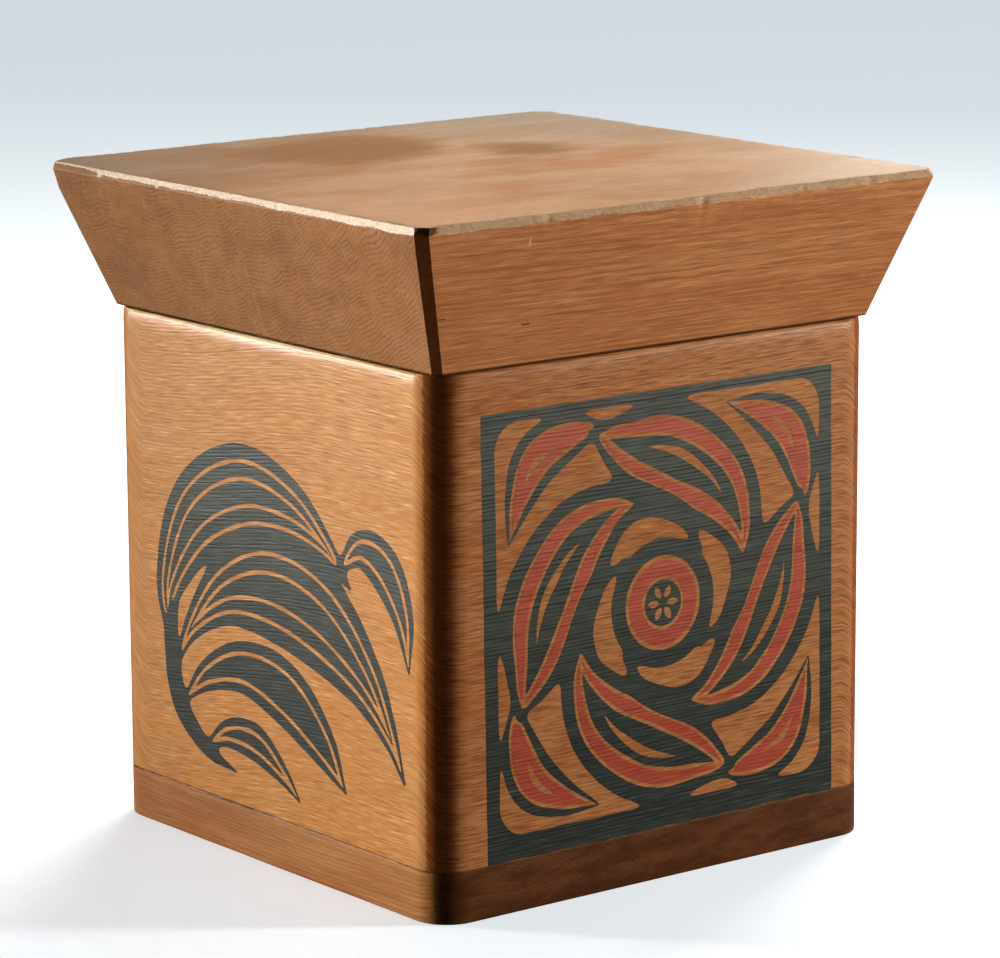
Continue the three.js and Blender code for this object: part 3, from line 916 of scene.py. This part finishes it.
# Each row of a stroke is a place on its middle line and half its width there, in millimetres
wreath_leaf = [(-47, 98, 1), (-22, 88, 18), (8, 78, 31), (38, 60, 26), (55, 34, 15), (56, 8, 8),
               (47, -13, 5), (27, -26, 1)]
wreath_leaf_inside = wreath_leaf[:4] + [(53, 37, 13), (57, 17, 1.6)]
wreath_slit = [(-14, 86, -0.4), (0, 84, 1.2), (16, 78, 2.6), (34, 64, 1.4), (44, 50, -0.4)]
corner_bud = [(46, 103, 0.8), (70, 95, 10), (89, 83, 15.5), (98, 62, 11.5), (101, 38, 0.8)]
bud_vein = [(72, 95, -0.3), (87, 84, 2), (95, 66, -0.3)]
rosette_petal, petal_turns = [(2.2, 0, 0), (6.6, 0, 2.1), (10.6, 0, 0)], np.arange(6) * np.pi / 3
# Each ring is the radius of its middle line and half its width
rosette_size, black_ring, red_ring = 12.5, (30.5, 4.8), (18.8, 4.4)
spray_stem = [(-34, 46, 0.8), (-62, 54, 5), (-86, 74, 7.5), (-94, 102, 7), (-93, 126, 4)]
spray_leaves = [
    ([(-96, 108, 2), (-95, 142, 13), (-69, 182, 25), (-26, 203, 27), (17, 201, 19), (52, 186, 8),
      (74, 168, 1)], 0.74, 1.5, 0.41),
    ([(-90, 96, 1), (-72, 122, 8), (-40, 146, 19), (2, 155, 29), (46, 146, 29), (84, 122, 18),
      (108, 94, 7), (120, 72, 1)], 0.74, 1.5, 0.41),
    ([(-84, 76, 1), (-58, 96, 9), (-24, 106, 15), (14, 99, 19), (46, 79, 13), (68, 56, 1)],
     0.70, 1.2, 0),
    ([(-62, 55, 1), (-40, 66, 8), (-14, 66, 11), (10, 54, 6), (26, 42, 0.8)], 0.60, 0.8, 0),
    ([(64, 176, 1.5), (84, 190, 10), (105, 183, 14), (120, 160, 9), (125, 132, 0.8)],
     0.62, 0.8, 0)]


def brushed(place, rows, *cuts):
    """How far places lie outside a brush stroke, below none inside it. Its middle line is cubic
    between rows, with each row's slope half the way from the row before to the row after, and a
    disc slides along it. Each cut (share, less) has the disc's radius times share, less less."""
    rows = np.asarray(rows, float)
    rows = np.vstack([2 * rows[0] - rows[1], rows, 2 * rows[-1] - rows[-2]])
    steps = np.linspace(0, len(rows) - 3, 14 * (len(rows) - 3) + 1)
    number = np.minimum(steps.astype(int), len(rows) - 4)
    t = (steps - number)[:, None]
    a, b, c, d = (rows[number + k] for k in range(4))
    line = b + ((c - a) * t + (2 * a - 5 * b + 4 * c - d) * t ** 2
                + (3 * b - 3 * c + d - a) * t ** 3) / 2
    outside = np.full((len(cuts), *place.shape[:-1]), np.inf)
    for begin, way in zip(line[:-1], np.diff(line, axis=0)):
        apart = place - begin[:2]
        share = np.clip(apart @ way[:2] / (way[:2] @ way[:2]), 0, 1)
        distance = np.linalg.norm(apart - share[..., None] * way[:2], axis=-1)
        width = begin[2] + share * way[2]
        for field, (scale, less) in zip(outside, cuts):
            np.minimum(field, distance - scale * width + less, out=field)
    return outside


def merged(a, b, fillet):
    """Two painted shapes as one, with their inner corners rounded: the lesser distance, lowered
    by fillet times s (1 - s) where the two are within a fillet of each other."""
    share = np.clip(0.5 + (b - a) / (2 * fillet), 0, 1)
    return b + (a - b) * share - fillet * share * (1 - share)


def round_box(place, half, corner):
    """How far places lie outside a box with rounded corners."""
    past = np.abs(place) - np.array(half) + corner
    return np.linalg.norm(np.maximum(past, 0), axis=-1) + np.minimum(past.max(-1), 0) - corner


def spun(field, join):
    """A shape joined with itself at each of the other three quarter turns."""
    turned = field
    for quarter in (1, 2, 3):
        turned = join(turned, np.rot90(field, quarter))
    return turned


def rosette(place):
    """A round dab with six straight petals left bare in it."""
    x, y = place[..., 0], place[..., 1]
    petals = [brushed(np.stack([c * x + s * y, c * y - s * x], -1), rosette_petal, (1, 0))[0]
              for c, s in zip(np.cos(petal_turns), np.sin(petal_turns))]
    return np.maximum(np.linalg.norm(place, axis=-1) - rosette_size, -np.min(petals, axis=0))


def design_places(low_x, high_x, low_y, high_y):
    """A square grid of places in millimetres, with y going down its rows."""
    x = np.arange(low_x, high_x + edge_step / 2, edge_step)
    y = np.arange(low_y, high_y + edge_step / 2, edge_step)[::-1]
    return np.stack(np.meshgrid(x, y), axis=-1)


def wreath():
    """The panel's black and red about the middle of its opening. Four leaves chase each other
    round a roundel, and a bud fills each corner."""
    place = design_places(-126, 126, -126, 126)
    opening = round_box(place, (opening_half, opening_height_half), opening_corner)
    rim = round_box(place + (0, opening_above), (panel_half, panel_height_half), panel_corner)
    out = np.linalg.norm(place, axis=-1)
    whole, = brushed(place, wreath_leaf, (1, 0))
    hole, red_edge, red_end, heart = brushed(place, wreath_leaf_inside, (0.74, 1.2), (0.74, 3.2),
                                             (0.46, 2.2), (0.46, 4.2))
    bud, bud_hole, bud_red = brushed(place, corner_bud, (1, 0), (0.66, 0.5), (0.66, 2.5))
    slit, = brushed(place, wreath_slit, (1, 0))
    vein, = brushed(place, bud_vein, (1, 0))
    leaves = merged(np.maximum(whole, -hole), np.maximum(bud, -bud_hole), 5)
    leaves = spun(leaves, lambda a, b: merged(a, b, 6))
    black = np.maximum(merged(np.abs(out - black_ring[0]) - black_ring[1], leaves, 7), opening - 2)
    black = merged(np.maximum(rim, -opening), black, 5)
    black = np.minimum(black, spun(np.maximum(heart, -slit), np.minimum))
    black = np.minimum(black, rosette(place))
    red = np.minimum(np.maximum(red_edge, -red_end), np.maximum(bud_red, -vein))
    red = np.minimum(spun(red, np.minimum), np.abs(out - red_ring[0]) - red_ring[1])
    return place, black, np.maximum(red, paint_apart - black)


def spray():
    """The free spray's black: leaves of several sizes that spring from a curled stem, each a
    bold outline round a heart, with bare lines between."""
    place = design_places(-130.5, 130.5, 36, 246)
    outlines, = brushed(place, spray_stem, (1, 0))
    hearts = np.full(outlines.shape, np.inf)
    for rows, share, less, inner in spray_leaves:
        whole, hole, heart, gap, core = brushed(
            place, rows, (1, 0), (share, less), (share, less + 2.3), (inner, less + 1),
            (inner, less + 3.2))
        outlines = merged(outlines, np.maximum(whole, -hole), 6)
        hearts = np.minimum(hearts, np.maximum(heart, -np.maximum(gap, -core)) if inner else heart)
    return place, np.minimum(outlines, hearts)


def edges_of(field):
    """Where a field over a grid passes none: the crossings on the grid's lines, as places in
    rows and columns, and the pairs of them that a cell joins."""
    inside = field < 0
    crossings, numbers = [], []
    for axis, step in ((1, (0, 1)), (0, (1, 0))):
        changes = np.diff(inside, axis=axis)
        row, column = np.nonzero(changes)
        here, there = field[row, column], field[row + step[0], column + step[1]]
        share = np.clip(here / (here - there), 0.03, 0.97)
        numbers.append(np.full(changes.shape, -1))
        numbers[-1][changes] = np.arange(len(row)) + sum(map(len, crossings))
        crossings.append(np.stack([row, column], -1) + np.outer(share, step))
    level, upright = numbers
    cells = np.stack([level[:-1], upright[:, 1:], level[1:], upright[:, :-1]], -1).reshape(-1, 4)
    crossed = (cells >= 0).sum(axis=1)
    once, twice = cells[crossed == 2], cells[crossed == 4]
    joins = np.concatenate([once[once >= 0], twice.ravel()])
    return np.concatenate(crossings), joins.reshape(-1, 2)


def coat(name, place, field, along_middle, way, height_middle, lean, material):
    """A coat of paint on a side, as thick as a brush leaves it. The design's edges are its rim,
    triangles fill it, and its skin follows the wood just proud of it, with its back sunk in."""
    field = field + brush_wobble * waves(place[..., 0], place[..., 1], 9, 31)
    rim, joins = edges_of(field)
    every = int(fill_step / edge_step)
    inner = np.argwhere(field < -fill_inside)
    inner = inner[(inner % every == 0).all(axis=1)]
    spots = [Vector(spot) for spot in np.concatenate([rim, inner])]
    spots, _, triangles, *_ = delaunay_2d_cdt(spots, joins.tolist(), [], 0, 1e-6, False)
    spots, triangles = np.array(spots), np.array(triangles)
    middle = spots[triangles].mean(axis=1)
    low_row, low_column = middle.astype(int).T
    u, v = (middle % 1).T
    middle = ((1 - u) * ((1 - v) * field[low_row, low_column] + v * field[low_row, low_column + 1])
              + u * ((1 - v) * field[low_row + 1, low_column]
                     + v * field[low_row + 1, low_column + 1]))
    used, triangles = np.unique(triangles[middle < 0], return_inverse=True)
    triangles = triangles.reshape(-1, 3)
    x = place[0, 0, 0] + spots[used, 1] * edge_step
    y = place[0, 0, 1] - spots[used, 0] * edge_step
    height = height_middle + y / 1000
    along = along_middle + way * (x / 1000 - lean * (height - panel_middle) / panel_high)
    worked = hand_worked(along, height)
    flat = np.concatenate([np.stack([along, worked - paint_proud, height], -1),
                           np.stack([along, worked + paint_sunk, height], -1)])
    sides = np.concatenate([triangles[:, [0, 1]], triangles[:, [1, 2]], triangles[:, [2, 0]]])
    _, first, count = np.unique(np.sort(sides, axis=1), axis=0, return_index=True,
                                return_counts=True)
    a, b = sides[first[count == 1]].T
    under = len(used)
    faces = (triangles.tolist() + (triangles[:, ::-1] + under).tolist()
             + np.stack([b, a, a + under, b + under], -1).tolist())
    mesh = faced_out(name, fold(*flat.T).tolist(), faces)
    store(mesh, "plank", "FLOAT_VECTOR", "vector", flat)
    piece = add_piece(name, mesh, material, 40)
    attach(piece, "box")


def paint(name, thin, thick, grain, paler_with_sheen):
    """Matt paint, thicker and thinner by the brush, that is paler towards the mouth, partly as
    paint that has paled with age and partly as a painted sheen, with the wood's lines showing
    through."""
    shade = Shade(name)
    place, along, height = plank_place(shade)
    late, fibre, streak = figure = cedar_figure(shade, place, *side_figure)
    brush = shade.noise(place, (60, 14, 14), 3, 0.6)
    # Paler towards the mouth, and more so beyond the left side: paint paled with age and a painted
    # sheen
    fade_and_sheen = shade.times(shade.scaled(off_left(shade, along), 0.3, 0.6),
                         shade.rise(height, 50, 290))
    fleck = shade.noise(place, (20, 0.8, 0.8), 1)
    tone = shade.layers(thin, (shade.rise(brush, 0.3, 0.7), thick),
                        (shade.times(fade_and_sheen, shade.rise(brush, 0.7, 0.3, 0.7, 1)), paler_with_sheen),
                        (shade.rise(fleck, 0.46, 0.30, 0, 0.4), paler_with_sheen),
                        (shade.rise(fleck, 0.50, 0.66, 0, 0.35), grain), (late, grain))
    tone = shade.darken(tone, (fibre, 0.45), (streak, 0.15))
    finish_cedar(shade, tone, figure, 0.28, 0.00010, (0.55, 0.55, 0.5))
    return shade.material


black_paint = paint("black_paint", (0.036, 0.04, 0.033), (0.026, 0.031, 0.026),
                    (0.011, 0.012, 0.01), (0.11, 0.113, 0.092))
red_paint = paint("red_paint", (0.39, 0.064, 0.036), (0.33, 0.052, 0.028),
                  (0.19, 0.032, 0.016), (0.46, 0.12, 0.072))
wreath_place, *wreath_fields = wreath()
spray_place, spray_black = spray()
wreath_middle = panel_middle + opening_above / 1000
for name, middle in (("front", bend_ends[1] + core), ("back", side)):
    for colour, field, material in zip(("black", "red"), wreath_fields, (black_paint, red_paint)):
        coat(name + "_" + colour + "_paint", wreath_place, field, middle, 1, wreath_middle,
             panel_lean, material)
for name, middle, way in (("left", bend_ends[0] + core, 1), ("right", bend_ends[2] + core, -1)):
    coat(name + "_black_paint", spray_place, spray_black, middle, way, 0, 0, black_paint)
